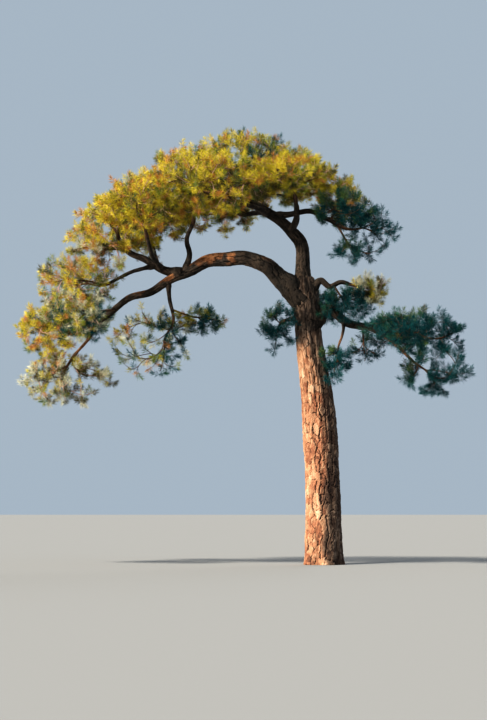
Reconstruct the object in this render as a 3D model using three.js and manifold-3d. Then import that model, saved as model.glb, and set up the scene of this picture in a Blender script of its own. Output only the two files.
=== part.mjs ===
// A wind-shaped pine, about 10 m high: a leaning trunk, a long bough that arches out to the left,
// a leader that carries a domed crown, and a short bough on the right.
// Millimetres, +Z up, +X to the right of the crown's broad side, origin in the middle of the cut
// under the trunk. Every limb and every mass of needles is one closed solid.
import * as THREE from "three";
import { mergeVertices } from "three/addons/utils/BufferGeometryUtils.js";
import Module from "manifold-3d";

const wasm = await Module();
wasm.setup();

// Clearances between neighbouring solids.
const SEAT_GAP = 0.3; // a limb or a mass to the limb that carries it
const MASS_GAP = 3; // a twig or a spray to anything of another mass

// Details smaller than these are smoothed away, so that no two corners nearly meet.
const MASS_DETAIL = 2;
const CUT_DETAIL = 0.05;

// The trunk: its line, and its radius at each point of the line.
const TRUNK_SIDES = 24;
const TRUNK_RINGS = 20;
const TRUNK = [
  { at: [0, 0, 0], r: 425 },
  { at: [10, 0, 1400], r: 412 },
  { at: [-60, 10, 3000], r: 397 },
  { at: [-130, 20, 3900], r: 378 },
  { at: [-230, 30, 4600], r: 342 },
  { at: [-320, 30, 5300], r: 302 },
  { at: [-360, 30, 5800], r: 318 },
  { at: [-425, 30, 6300], r: 345 },
  { at: [-440, 30, 6560], r: 255 },
];
const FLARE_HEIGHT = 380; // the root flare dies away over this height
const FLARE_OUT = 85; // how far its buttresses stand out at the ground
const BUTTRESSES = 5;

// Its bark stands in long plates: every other side is a ridge, and the ridges change sides after
// some rings.
const PLATE_RINGS = 3;
const FURROW_DEPTH = 22;

// Each limb starts inside the one that carries it, and is cut clear of it.
const LIMB_RING_STEP = 480;
const COLLAR = 0.28; // a limb is this much thicker where it leaves its parent
const COLLAR_LENGTH = 260;
const LIMBS = {
  leader: {
    on: "trunk",
    r: [172, 148],
    line: [[-445, 20, 6200], [-455, 50, 6800], [-475, 70, 7200], [-520, 60, 7480]],
  },
  leader_top: {
    on: "leader",
    r: [146, 92],
    line: [[-512, 60, 7440], [-720, 40, 7700], [-1010, 20, 7950], [-1520, -10, 8265], [-1810, 0, 8400]],
  },
  left_bough: {
    on: "trunk",
    r: [215, 165],
    line: [[-420, 0, 6050], [-760, 0, 6390], [-1370, 0, 6890], [-1800, 0, 7070], [-2200, 0, 7040]],
  },
  left_bough_middle: {
    on: "left_bough",
    r: [160, 115],
    line: [[-2150, 0, 7045], [-2620, -20, 6985], [-3010, -40, 6790], [-3400, -60, 6620]],
  },
  left_bough_outer: {
    on: "left_bough_middle",
    r: [96, 56],
    line: [[-3360, -60, 6640], [-3900, -40, 6300], [-4475, 0, 6120], [-4900, 0, 5760], [-5450, 0, 5340]],
  },
  left_bough_upper: {
    on: "left_bough_middle",
    r: [100, 58],
    line: [[-3250, -40, 6700], [-3700, 20, 6790], [-4110, 60, 7030], [-4475, 60, 7190], [-4700, 60, 7480]],
  },
  left_riser: {
    on: "left_bough_middle",
    r: [68, 44],
    line: [[-3170, -50, 6720], [-3060, -20, 7150], [-3130, 0, 7500], [-2980, 20, 7880]],
  },
  left_mid_limb: {
    on: "left_bough_upper",
    r: [50, 34],
    line: [[-3860, 30, 6880], [-4400, 0, 6730], [-4950, -50, 6450]],
  },
  left_low_limb: {
    on: "left_bough_outer",
    r: [44, 30],
    line: [[-5120, 0, 5590], [-5380, -60, 5200], [-5680, -90, 4840]],
  },
  hanging_limb: {
    on: "left_bough_outer",
    r: [54, 36],
    line: [[-3560, -55, 6500], [-3520, -80, 6050], [-3430, -80, 5720]],
  },
  front_left_limb: {
    on: "left_bough_upper",
    r: [62, 40],
    line: [[-3720, 10, 6810], [-3900, -560, 7060], [-4020, -1060, 7480]],
  },
  back_left_limb: {
    on: "left_bough_upper",
    r: [62, 40],
    line: [[-3760, 30, 6830], [-3860, 600, 7080], [-3960, 1080, 7470]],
  },
  front_top_limb: {
    on: "leader_top",
    r: [74, 44],
    line: [[-1270, 0, 8110], [-1560, -620, 8170], [-1860, -1150, 8180]],
  },
  back_top_limb: {
    on: "leader_top",
    r: [74, 44],
    line: [[-1270, 0, 8110], [-1530, 620, 8170], [-1800, 1150, 8180]],
  },
  front_right_limb: {
    on: "leader_top",
    r: [64, 40],
    line: [[-715, 40, 7695], [-620, -500, 7960], [-620, -980, 8250]],
  },
  back_right_limb: {
    on: "leader_top",
    r: [64, 40],
    line: [[-715, 40, 7695], [-580, 560, 7960], [-540, 1040, 8300]],
  },
  right_top_limb: {
    on: "leader_top",
    r: [70, 44],
    line: [[-1110, 10, 8030], [-795, 0, 8050], [-270, 0, 8130], [60, 0, 7985], [480, 0, 7760]],
  },
  right_top_riser: { on: "right_top_limb", r: [42, 30], line: [[-600, 0, 8080], [-640, 30, 8460]] },
  right_bough: {
    on: "trunk",
    r: [118, 94],
    line: [[-330, 0, 5300], [-90, -20, 5640], [130, -40, 5880], [380, -40, 5720], [600, -30, 5540]],
  },
  right_bough_outer: {
    on: "right_bough",
    r: [92, 60],
    line: [[575, -30, 5565], [1110, 0, 5440], [1415, 0, 5305], [1720, 0, 5240]],
  },
  right_low_limb: {
    on: "right_bough_outer",
    r: [46, 32],
    line: [[1400, 0, 5310], [1760, 20, 4980], [2060, 40, 4700]],
  },
  right_knob_limb: {
    on: "trunk",
    r: [84, 44],
    line: [[-320, -60, 6180], [-50, -130, 6520], [160, -140, 6380], [400, -110, 6480], [640, -80, 6440]],
  },
  right_hanging_twig: {
    on: "right_bough",
    r: [38, 26],
    line: [[490, -35, 5640], [480, -120, 5400], [430, -240, 5200], [370, -330, 5050]],
  },
  left_trunk_limb: {
    on: "trunk",
    r: [56, 38],
    line: [[-400, -40, 5540], [-700, -70, 5640], [-900, -80, 5600]],
  },
  trunk_back_limb: {
    on: "trunk",
    r: [78, 46],
    line: [[-370, 60, 5860], [-290, 600, 6020], [-190, 1020, 6080]],
  },
};

// Each mass of needles fills an ellipsoid and grows from a stem that leaves its limb at a share
// of the limb's length, 1 being the limb's tip.
const MASSES = {
  top_centre: { on: "leader_top", at: 1, centre: [-1880, 0, 9240], size: [1150, 1150, 800] },
  top_right: { on: "right_top_riser", at: 1, centre: [-640, 80, 9040], size: [900, 1050, 560] },
  top_left: { on: "left_riser", at: 1, centre: [-3250, 0, 8740], size: [1120, 1150, 850] },
  front_top: { on: "front_top_limb", at: 1, centre: [-2560, -2000, 8560], size: [1300, 1100, 640] },
  back_top: { on: "back_top_limb", at: 1, centre: [-2420, 2050, 8560], size: [1300, 1150, 640] },
  front_right: { on: "front_right_limb", at: 1, centre: [-800, -1800, 8700], size: [950, 1000, 500] },
  back_right: { on: "back_right_limb", at: 1, centre: [-660, 1850, 8760], size: [950, 1000, 500] },
  front_left: { on: "front_left_limb", at: 1, centre: [-4180, -1900, 8060], size: [1050, 1000, 620] },
  back_left: { on: "back_left_limb", at: 1, centre: [-4080, 1950, 8080], size: [1050, 1000, 620] },
  left_shoulder: { on: "left_bough_upper", at: 1, centre: [-4640, 0, 8090], size: [980, 1200, 700] },
  left_outer: { on: "left_bough_upper", at: 0.86, centre: [-5200, 120, 7260], size: [780, 900, 430] },
  left_middle: { on: "left_mid_limb", at: 1, centre: [-5660, -100, 6460], size: [900, 1000, 580] },
  left_front: { on: "left_bough_outer", at: 0.66, centre: [-5600, -1550, 5640], size: [750, 800, 600] },
  left_back: { on: "left_bough_outer", at: 0.7, centre: [-5560, 1550, 5700], size: [750, 800, 600] },
  left_tip: { on: "left_bough_outer", at: 1, centre: [-6390, 0, 5440], size: [600, 900, 680] },
  left_low: { on: "left_low_limb", at: 1, centre: [-6020, -60, 4330], size: [960, 900, 620] },
  hanging_left: { on: "hanging_limb", at: 1, centre: [-3650, -50, 5080], size: [760, 700, 720] },
  hanging_right: { on: "hanging_limb", at: 0.82, centre: [-2720, 40, 5600], size: [560, 460, 300] },
  right_shoulder: { on: "right_top_limb", at: 0.8, centre: [400, 0, 8360], size: [620, 900, 440] },
  right_upper_tip: { on: "right_top_limb", at: 1, centre: [1270, 0, 7760], size: [700, 800, 520] },
  right_upper_front: { on: "right_top_limb", at: 0.62, centre: [420, -1300, 8050], size: [650, 650, 440] },
  right_upper_back: { on: "right_top_limb", at: 0.7, centre: [470, 1300, 8100], size: [650, 650, 440] },
  right_upper_low: { on: "right_top_limb", at: 0.9, centre: [730, -120, 7140], size: [600, 650, 360] },
  right_small: { on: "right_knob_limb", at: 1, centre: [1080, -50, 6270], size: [460, 560, 380] },
  right_inner: { on: "right_knob_limb", at: 0.66, centre: [500, -440, 6010], size: [520, 440, 370] },
  right_main: { on: "right_bough_outer", at: 1, centre: [2440, 0, 5370], size: [950, 850, 540] },
  right_low: { on: "right_low_limb", at: 1, centre: [2590, 40, 4320], size: [820, 700, 470] },
  right_front: { on: "right_bough_outer", at: 0.62, centre: [1900, -1350, 5320], size: [600, 600, 400] },
  right_back: { on: "right_bough_outer", at: 0.7, centre: [1950, 1350, 5340], size: [600, 600, 400] },
  right_hanging: { on: "right_bough_outer", at: 0.3, centre: [960, 60, 4860], size: [560, 560, 480] },
  trunk_right: { on: "right_hanging_twig", at: 1, centre: [300, -450, 4570], size: [350, 340, 480] },
  trunk_left: { on: "left_trunk_limb", at: 1, centre: [-1100, -80, 5330], size: [500, 560, 680] },
  trunk_back: { on: "trunk_back_limb", at: 1, centre: [-120, 1600, 5980], size: [600, 620, 480] },
};

// A twig ends in a spray of needles: an eight-sided core, wider in front, with a thick spike on
// each face but the one that the twig enters.
const SEED = 4100;
const SPRAYS_PER_M2 = 0.84; // for each square metre of a mass's ellipsoid
const FEWEST_SPRAYS = 6;
const SPRAY_REACH = 430;
const SPRAY_REACH_SHARE = 0.72; // of a small mass's least radius
const SPRAY_RIM_SHARE = 0.85; // of the reach that stays inside the ellipsoid
const CORE_FRONT = 0.27; // the core's corners, as shares of the reach
const CORE_BACK = 0.1;
const CORE_DEPTH = 0.15;
const SPRAY_FORWARD = 0.3; // how far its spikes lean along the twig
const SPRAY_TILT = 0.55; // most that a spray turns out and up from its twig, in radians
const LIFT = 0.5; // how strongly sprays turn up
const STEM_RADIUS = 36;
const TWIG_RADIUS = 25;
const TWIG_ROOT_RADIUS = 13; // small enough to end inside the twig that carries it
const JOINTS_AT = [0.3, 0.5, 0.68]; // where a twig may branch, once each, as shares of its length
const STEM_SHARE = 0.6; // of the way from the foot to the mass's middle
const STEM_JOINTS_AT = [0.45, 0.62, 0.8, 0.97];
const CANDIDATES = 14; // places tried for each spray; the one furthest from the others is kept
const INNER_SHARE = 0.35; // sprays start at this share of the radius, cubed
const TURN_COST = 0.6; // makes a twig prefer a parent that it needn't turn back from

const vector = (p) => new THREE.Vector3(...p);

// A seeded stream of numbers from 0 to 1.
function randomFrom(seed) {
  let state = seed >>> 0;
  return () => {
    state = (state + 0x6d2b79f5) >>> 0;
    let t = state;
    t = Math.imul(t ^ (t >>> 15), t | 1);
    t ^= t + Math.imul(t ^ (t >>> 7), t | 61);
    return ((t ^ (t >>> 14)) >>> 0) / 4294967296;
  };
}

function solidOf(geometry) {
  const bare = geometry.clone();
  bare.deleteAttribute("normal");
  bare.deleteAttribute("uv");
  const merged = mergeVertices(bare, 1e-3);
  return new wasm.Manifold(
    new wasm.Mesh({
      numProp: 3,
      vertProperties: new Float32Array(merged.attributes.position.array),
      triVerts: new Uint32Array(merged.index.array),
    }),
  );
}

function geometryOf(solid) {
  const mesh = solid.getMesh();
  const geometry = new THREE.BufferGeometry();
  geometry.setAttribute("position", new THREE.BufferAttribute(mesh.vertProperties, 3));
  geometry.setIndex(new THREE.BufferAttribute(mesh.triVerts, 1));
  geometry.computeVertexNormals();
  return geometry;
}

// A round tube along a curve: radiusAt(share along it, angle round it).
function tube(curve, sides, rings, radiusAt, grow) {
  const geometry = new THREE.CylinderGeometry(1, 1, 1, sides, rings);
  const frames = curve.computeFrenetFrames(rings, false);
  const position = geometry.attributes.position;
  const local = new THREE.Vector3();
  for (let i = 0; i < position.count; i++) {
    local.fromBufferAttribute(position, i);
    const share = local.y + 0.5;
    const ring = Math.round(share * rings);
    const radius = radiusAt(share, Math.atan2(local.z, local.x)) + grow;
    const out = Math.hypot(local.x, local.z) * radius;
    const angle = Math.atan2(local.z, local.x);
    const along = (share - 0.5) * 2 * grow;
    const p = curve
      .getPointAt(share)
      .addScaledVector(frames.normals[ring], Math.cos(angle) * out)
      .addScaledVector(frames.binormals[ring], -Math.sin(angle) * out)
      .addScaledVector(frames.tangents[ring], along);
    position.setXYZ(i, p.x, p.y, p.z);
  }
  return geometry;
}

// The trunk stands on a level cut, so its rings are level.
function trunkGeometry(grow) {
  const geometry = new THREE.CylinderGeometry(1, 1, 1, TRUNK_SIDES, TRUNK_RINGS);
  const line = new THREE.CatmullRomCurve3(TRUNK.map((ring) => vector(ring.at)));
  const width = new THREE.CatmullRomCurve3(TRUNK.map((ring) => new THREE.Vector3(ring.r, 0, 0)));
  const position = geometry.attributes.position;
  for (let i = 0; i < position.count; i++) {
    const height = position.getY(i) + 0.5;
    const share = height ** 1.25; // rings stand closer together at the flare
    const p = line.getPoint(share);
    const x = position.getX(i);
    const y = -position.getZ(i);
    const flare = Math.exp(-p.z / FLARE_HEIGHT) * FLARE_OUT;
    const lobe = 0.5 + 0.5 * Math.cos(BUTTRESSES * Math.atan2(y, x));
    const side = Math.round((Math.atan2(y, x) / (2 * Math.PI)) * TRUNK_SIDES);
    const row = Math.floor(Math.round(height * TRUNK_RINGS) / PLATE_RINGS);
    const furrow = (side + row) % 2 ? FURROW_DEPTH : 0;
    const radius = width.getPoint(share).x + flare * lobe - furrow + grow;
    const lift = height === 0 ? -grow : height === 1 ? grow : 0;
    position.setXYZ(i, p.x + x * radius, p.y + y * radius, p.z + lift);
  }
  return geometry;
}

function limbSides(radius) {
  if (radius > 120) return 10;
  return radius > 60 ? 8 : 6;
}

const curves = {};
function limbGeometry(name, grow) {
  const limb = LIMBS[name];
  curves[name] ??= new THREE.CatmullRomCurve3(limb.line.map(vector));
  const curve = curves[name];
  const length = curve.getLength();
  const rings = Math.max(2, Math.round(length / LIMB_RING_STEP));
  const [base, tip] = limb.r;
  const radiusAt = (share) => {
    const collar = 1 + COLLAR * Math.exp((-share * length) / COLLAR_LENGTH);
    return THREE.MathUtils.lerp(base, tip, share) * collar;
  };
  return tube(curve, limbSides(base), rings, radiusAt, grow);
}

// The biggest piece of a solid: a cut can leave a loose scrap.
function whole(solid) {
  const pieces = solid.decompose();
  return pieces.reduce((a, b) => (a.volume() > b.volume() ? a : b));
}

// Turns geometry that points up to point along a way, and moves it to a place.
function aim(geometry, way, place) {
  geometry.applyQuaternion(new THREE.Quaternion().setFromUnitVectors(THREE.Object3D.DEFAULT_UP, way));
  return geometry.translate(place.x, place.y, place.z);
}

function stemSolid(from, to) {
  const way = to.clone().sub(from);
  const length = way.length();
  const geometry = new THREE.CylinderGeometry(TWIG_RADIUS, STEM_RADIUS, length, 3, 1);
  return solidOf(aim(geometry, way.normalize(), from.clone().lerp(to, 0.5)));
}

// Three corners round an axis, at a height on it.
function corners(radius, height, turn) {
  return [0, 1, 2].map((k) => {
    const angle = turn + (k * 2 * Math.PI) / 3;
    return new THREE.Vector3(radius * Math.cos(angle), height, -radius * Math.sin(angle));
  });
}

// A three-sided twig from a joint to a place, with its spray there, as one closed surface.
function twigSolid(from, to, axis, reach, roll) {
  const turn = (ring, way, place) => {
    const q = new THREE.Quaternion().setFromUnitVectors(THREE.Object3D.DEFAULT_UP, way);
    return ring.map((p) => p.applyQuaternion(q).add(place));
  };
  const root = turn(corners(TWIG_ROOT_RADIUS, 0, roll), to.clone().sub(from).normalize(), from);
  const back = turn(corners(reach * CORE_BACK, -reach * CORE_DEPTH, roll), axis, to);
  const front = turn(corners(reach * CORE_FRONT, reach * CORE_DEPTH, roll + Math.PI / 3), axis, to);
  const faces = [[root[2], root[1], root[0]]];
  const spikes = [[front[0], front[1], front[2]]];
  for (let k = 0; k < 3; k++) {
    const next = (k + 1) % 3;
    faces.push([root[k], root[next], back[next]], [root[k], back[next], back[k]]);
    spikes.push([back[k], back[next], front[k]], [front[k], back[next], front[next]]);
  }
  for (const [a, b, c] of spikes) {
    const middle = a.clone().add(b).add(c).divideScalar(3).sub(to).normalize();
    const apex = middle.addScaledVector(axis, SPRAY_FORWARD).setLength(reach).add(to);
    faces.push([a, b, apex], [b, c, apex], [c, a, apex]);
  }
  const geometry = new THREE.BufferGeometry();
  const places = faces.flat().flatMap((corner) => corner.toArray());
  geometry.setAttribute("position", new THREE.Float32BufferAttribute(places, 3));
  return solidOf(geometry);
}

function ellipsoidArea([a, b, c]) {
  const p = 1.6075;
  return 4 * Math.PI * (((a * b) ** p + (a * c) ** p + (b * c) ** p) / 3) ** (1 / p);
}

// A point in the mass that leaves room for a spray.
function placeIn(mass, reach, random) {
  const up = 2 * random() - 1;
  const turn = 2 * Math.PI * random();
  const flat = Math.sqrt(1 - up * up);
  const share = Math.cbrt(INNER_SHARE + (1 - INNER_SHARE) * random());
  const way = [flat * Math.cos(turn), flat * Math.sin(turn), up];
  return vector(mass.centre.map((c, i) => c + way[i] * share * (mass.size[i] - SPRAY_RIM_SHARE * reach)));
}

// The ends of the mass's own axes come first, so that it reaches its full size.
function axisPlaces(mass, reach) {
  const ways = [[-1, 0, 0], [1, 0, 0], [0, 0, 1], [0, -1, 0], [0, 1, 0], [0, 0, -1]];
  const rim = mass.size.map((size) => size - SPRAY_RIM_SHARE * reach);
  return ways.map((way) => vector(mass.centre.map((c, i) => c + way[i] * rim[i])));
}

function spreadPlaces(mass, reach, count, random) {
  const places = axisPlaces(mass, reach).slice(0, count);
  while (places.length < count) {
    let best = null;
    let bestGap = -1;
    for (let k = 0; k < CANDIDATES; k++) {
      const place = placeIn(mass, reach, random);
      const gap = Math.min(...places.map((p) => p.distanceTo(place)));
      if (gap > bestGap) [best, bestGap] = [place, gap];
    }
    places.push(best);
  }
  return places;
}

// The joint that a twig to this place leaves from: near, and without turning back.
function parentFor(place, joints) {
  let best = null;
  let bestCost = Infinity;
  for (const joint of joints) {
    const way = place.clone().sub(joint.at);
    const cost = way.length() * (1 + TURN_COST * (1 - way.clone().normalize().dot(joint.way)));
    if (cost < bestCost) [best, bestCost] = [joint, cost];
  }
  return best;
}

const touches = (a, b, gap) => {
  const [p, q] = [a.boundingBox(), b.boundingBox()];
  const apart = [0, 1, 2].some((i) => p.min[i] > q.max[i] + gap || q.min[i] > p.max[i] + gap);
  return !apart && a.minGap(b, gap) < gap;
};

// A spray points along its twig, turned out of the mass and up by a limited angle.
function sprayAxis(way, out) {
  const wish = way.clone().add(out).add(new THREE.Vector3(0, 0, LIFT)).normalize();
  const angle = way.angleTo(wish);
  return way.clone().lerp(wish, Math.min(1, SPRAY_TILT / Math.max(angle, SPRAY_TILT))).normalize();
}

function growMass(name, index, limbSolids, masses) {
  const mass = MASSES[name];
  const random = randomFrom(SEED + index);
  const reach = Math.min(SPRAY_REACH, SPRAY_REACH_SHARE * Math.min(...mass.size));
  const count = Math.max(FEWEST_SPRAYS, Math.round((SPRAYS_PER_M2 * ellipsoidArea(mass.size)) / 1e6));
  const foot = curves[mass.on].getPointAt(mass.at);
  const centre = vector(mass.centre);
  const stemEnd = foot.clone().lerp(centre, STEM_SHARE);
  const stemWay = centre.clone().sub(foot).normalize();
  const pieces = [stemSolid(foot.clone().addScaledVector(stemWay, -STEM_RADIUS), stemEnd)];
  const joints = STEM_JOINTS_AT.map((share) => ({ at: foot.clone().lerp(stemEnd, share), way: stemWay }));
  const near = [...limbSolids.values(), ...masses.values()];
  const places = spreadPlaces(mass, reach, count, random);
  places.sort((a, b) => a.distanceTo(stemEnd) - b.distanceTo(stemEnd));
  for (const place of places) {
    const joint = parentFor(place, joints);
    const way = place.clone().sub(joint.at).normalize();
    const axis = sprayAxis(way, place.clone().sub(centre).normalize());
    const grown = twigSolid(joint.at, place, axis, reach, random() * 2 * Math.PI);
    if (near.some((other) => touches(grown, other, MASS_GAP))) continue;
    pieces.push(grown);
    joints.splice(joints.indexOf(joint), 1);
    for (const share of JOINTS_AT) joints.push({ at: joint.at.clone().lerp(place, share), way });
  }
  return whole(wasm.Manifold.union(pieces).simplify(MASS_DETAIL));
}

const barkOfTrunk = new THREE.MeshStandardMaterial({ color: 0xb5764f, roughness: 0.95, metalness: 0 });
const barkOfBoughs = new THREE.MeshStandardMaterial({ color: 0x5b4a3d, roughness: 0.95, metalness: 0 });
const sunlitNeedles = new THREE.MeshStandardMaterial({ color: 0x93892a, roughness: 0.7, metalness: 0 });
const shadedNeedles = new THREE.MeshStandardMaterial({ color: 0x2f4f3c, roughness: 0.7, metalness: 0 });
const SHADED = /^(right_(?!shoulder)|trunk_|hanging_)/;

const tree = new THREE.Group();
function addNode(name, solid, material) {
  const mesh = new THREE.Mesh(geometryOf(solid), material);
  mesh.name = name;
  tree.add(mesh);
}

const trunk = solidOf(trunkGeometry(0));
addNode("trunk", trunk, barkOfTrunk);

// Limbs, each cut clear of its parent and of the limbs that leave the same parent before it.
const limbSolids = new Map([["trunk", trunk]]);
const grownSolids = new Map([["trunk", solidOf(trunkGeometry(SEAT_GAP))]]);
for (const name of Object.keys(LIMBS)) {
  let solid = solidOf(limbGeometry(name, 0));
  const grown = solidOf(limbGeometry(name, SEAT_GAP));
  for (const [other, room] of grownSolids) {
    if (limbSolids.get(other).intersect(solid).volume() > 0) solid = solid.subtract(room);
  }
  solid = whole(solid.simplify(CUT_DETAIL));
  limbSolids.set(name, solid);
  grownSolids.set(name, grown);
  addNode(name, solid, barkOfBoughs);
}

// Masses, each on its stem.
const massSolids = new Map();
Object.keys(MASSES).forEach((name, index) => {
  const solid = growMass(name, index, limbSolids, massSolids);
  const cut = whole(solid.subtract(grownSolids.get(MASSES[name].on)).simplify(CUT_DETAIL));
  massSolids.set(name, cut);
  addNode(name, cut, SHADED.test(name) ? shadedNeedles : sunlitNeedles);
});

export default tree;
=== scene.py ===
"""Dresses the wind-shaped pine: bark with relief on the trunk and the limbs, twigs that grow on from
the limbs, and sprays of needles in plain tints that are dealt out by spray."""

import math

import bpy
import numpy as np
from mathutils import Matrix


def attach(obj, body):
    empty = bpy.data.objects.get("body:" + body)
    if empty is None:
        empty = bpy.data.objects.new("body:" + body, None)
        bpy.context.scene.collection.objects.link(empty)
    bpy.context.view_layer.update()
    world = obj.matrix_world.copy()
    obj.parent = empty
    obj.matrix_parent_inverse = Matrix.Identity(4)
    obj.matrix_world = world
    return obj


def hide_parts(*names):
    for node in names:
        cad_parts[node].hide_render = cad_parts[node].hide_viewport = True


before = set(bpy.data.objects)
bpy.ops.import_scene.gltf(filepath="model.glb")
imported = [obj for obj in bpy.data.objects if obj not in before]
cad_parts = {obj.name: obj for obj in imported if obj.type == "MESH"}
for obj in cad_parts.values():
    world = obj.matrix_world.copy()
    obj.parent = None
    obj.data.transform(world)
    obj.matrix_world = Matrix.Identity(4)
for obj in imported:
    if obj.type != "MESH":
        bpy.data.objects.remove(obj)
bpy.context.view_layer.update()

# Lengths are in metres. The tree's foot is the origin, and the photograph looks along +Y.

# The trunk's line and radii, as in the part. Angles round it are measured from +X.
TRUNK = [
    ((0, 0, 0), 0.425),
    ((0.01, 0, 1.4), 0.412),
    ((-0.06, 0.01, 3.0), 0.397),
    ((-0.13, 0.02, 3.9), 0.378),
    ((-0.23, 0.03, 4.6), 0.342),
    ((-0.32, 0.03, 5.3), 0.302),
    ((-0.36, 0.03, 5.8), 0.318),
    ((-0.425, 0.03, 6.3), 0.345),
    ((-0.44, 0.03, 6.56), 0.255),
]
FLARE_HEIGHT = 0.38
FLARE_OUT = 0.085
BUTTRESSES = 5
SHOULDER_HEIGHT = 0.12  # the trunk closes in a dome of this height inside the leader
# The part's long plates of bark lie on its own sides and levels, which crowd towards the foot
PART_SIDES = 24
PART_LEVELS = 20
LEVEL_CROWDING = 1.25
PLATE_LEVELS = 3
FURROW_DEPTH = 0.022

# Each limb: the one that carries it, its radius at the base and the tip, and its line.
LIMBS = {
    "leader": ("trunk", 0.172, 0.148,
        [(-0.445, 0.02, 6.2), (-0.455, 0.05, 6.8), (-0.475, 0.07, 7.2), (-0.52, 0.06, 7.48)]),
    "leader_top": ("leader", 0.146, 0.092,
        [(-0.512, 0.06, 7.44), (-0.72, 0.04, 7.7), (-1.01, 0.02, 7.95), (-1.52, -0.01, 8.265),
         (-1.81, 0, 8.4)]),
    "left_bough": ("trunk", 0.215, 0.165,
        [(-0.42, 0, 6.05), (-0.76, 0, 6.39), (-1.37, 0, 6.89), (-1.8, 0, 7.07), (-2.2, 0, 7.04)]),
    "left_bough_middle": ("left_bough", 0.16, 0.115,
        [(-2.15, 0, 7.045), (-2.62, -0.02, 6.985), (-3.01, -0.04, 6.79), (-3.4, -0.06, 6.62)]),
    "left_bough_outer": ("left_bough_middle", 0.096, 0.056,
        [(-3.36, -0.06, 6.64), (-3.9, -0.04, 6.3), (-4.475, 0, 6.12), (-4.9, 0, 5.76), (-5.45, 0, 5.34)]),
    "left_bough_upper": ("left_bough_middle", 0.1, 0.058,
        [(-3.25, -0.04, 6.7), (-3.7, 0.02, 6.79), (-4.11, 0.06, 7.03), (-4.475, 0.06, 7.19),
         (-4.7, 0.06, 7.48)]),
    "left_riser": ("left_bough_middle", 0.068, 0.044,
        [(-3.17, -0.05, 6.72), (-3.06, -0.02, 7.15), (-3.13, 0, 7.5), (-2.98, 0.02, 7.88)]),
    "left_mid_limb": ("left_bough_upper", 0.05, 0.034,
        [(-3.86, 0.03, 6.88), (-4.4, 0, 6.73), (-4.95, -0.05, 6.45)]),
    "left_low_limb": ("left_bough_outer", 0.044, 0.03,
        [(-5.12, 0, 5.59), (-5.38, -0.06, 5.2), (-5.68, -0.09, 4.84)]),
    "hanging_limb": ("left_bough_outer", 0.054, 0.036,
        [(-3.56, -0.055, 6.5), (-3.52, -0.08, 6.05), (-3.43, -0.08, 5.72)]),
    "front_left_limb": ("left_bough_upper", 0.062, 0.04,
        [(-3.72, 0.01, 6.81), (-3.9, -0.56, 7.06), (-4.02, -1.06, 7.48)]),
    "back_left_limb": ("left_bough_upper", 0.062, 0.04,
        [(-3.76, 0.03, 6.83), (-3.86, 0.6, 7.08), (-3.96, 1.08, 7.47)]),
    "front_top_limb": ("leader_top", 0.074, 0.044,
        [(-1.27, 0, 8.11), (-1.56, -0.62, 8.17), (-1.86, -1.15, 8.18)]),
    "back_top_limb": ("leader_top", 0.074, 0.044,
        [(-1.27, 0, 8.11), (-1.53, 0.62, 8.17), (-1.8, 1.15, 8.18)]),
    "front_right_limb": ("leader_top", 0.064, 0.04,
        [(-0.715, 0.04, 7.695), (-0.62, -0.5, 7.96), (-0.62, -0.98, 8.25)]),
    "back_right_limb": ("leader_top", 0.064, 0.04,
        [(-0.715, 0.04, 7.695), (-0.58, 0.56, 7.96), (-0.54, 1.04, 8.3)]),
    "right_top_limb": ("leader_top", 0.07, 0.044,
        [(-1.11, 0.01, 8.03), (-0.795, 0, 8.05), (-0.27, 0, 8.13), (0.06, 0, 7.985), (0.48, 0, 7.76)]),
    "right_top_riser": ("right_top_limb", 0.042, 0.03, [(-0.6, 0, 8.08), (-0.64, 0.03, 8.46)]),
    "right_bough": ("trunk", 0.118, 0.094,
        [(-0.33, 0, 5.3), (-0.09, -0.02, 5.64), (0.13, -0.04, 5.88), (0.38, -0.04, 5.72),
         (0.6, -0.03, 5.54)]),
    "right_bough_outer": ("right_bough", 0.092, 0.06,
        [(0.575, -0.03, 5.565), (1.11, 0, 5.44), (1.415, 0, 5.305), (1.72, 0, 5.24)]),
    "right_low_limb": ("right_bough_outer", 0.046, 0.032,
        [(1.4, 0, 5.31), (1.76, 0.02, 4.98), (2.06, 0.04, 4.7)]),
    "right_knob_limb": ("trunk", 0.084, 0.044,
        [(-0.32, -0.06, 6.18), (-0.05, -0.13, 6.52), (0.16, -0.14, 6.38), (0.4, -0.11, 6.48),
         (0.64, -0.08, 6.44)]),
    "right_hanging_twig": ("right_bough", 0.038, 0.026,
        [(0.49, -0.035, 5.64), (0.48, -0.12, 5.4), (0.43, -0.24, 5.2), (0.37, -0.33, 5.05)]),
    "left_trunk_limb": ("trunk", 0.056, 0.038,
        [(-0.4, -0.04, 5.54), (-0.7, -0.07, 5.64), (-0.9, -0.08, 5.6)]),
    "trunk_back_limb": ("trunk", 0.078, 0.046,
        [(-0.37, 0.06, 5.86), (-0.29, 0.6, 6.02), (-0.19, 1.02, 6.08)]),
}

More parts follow.
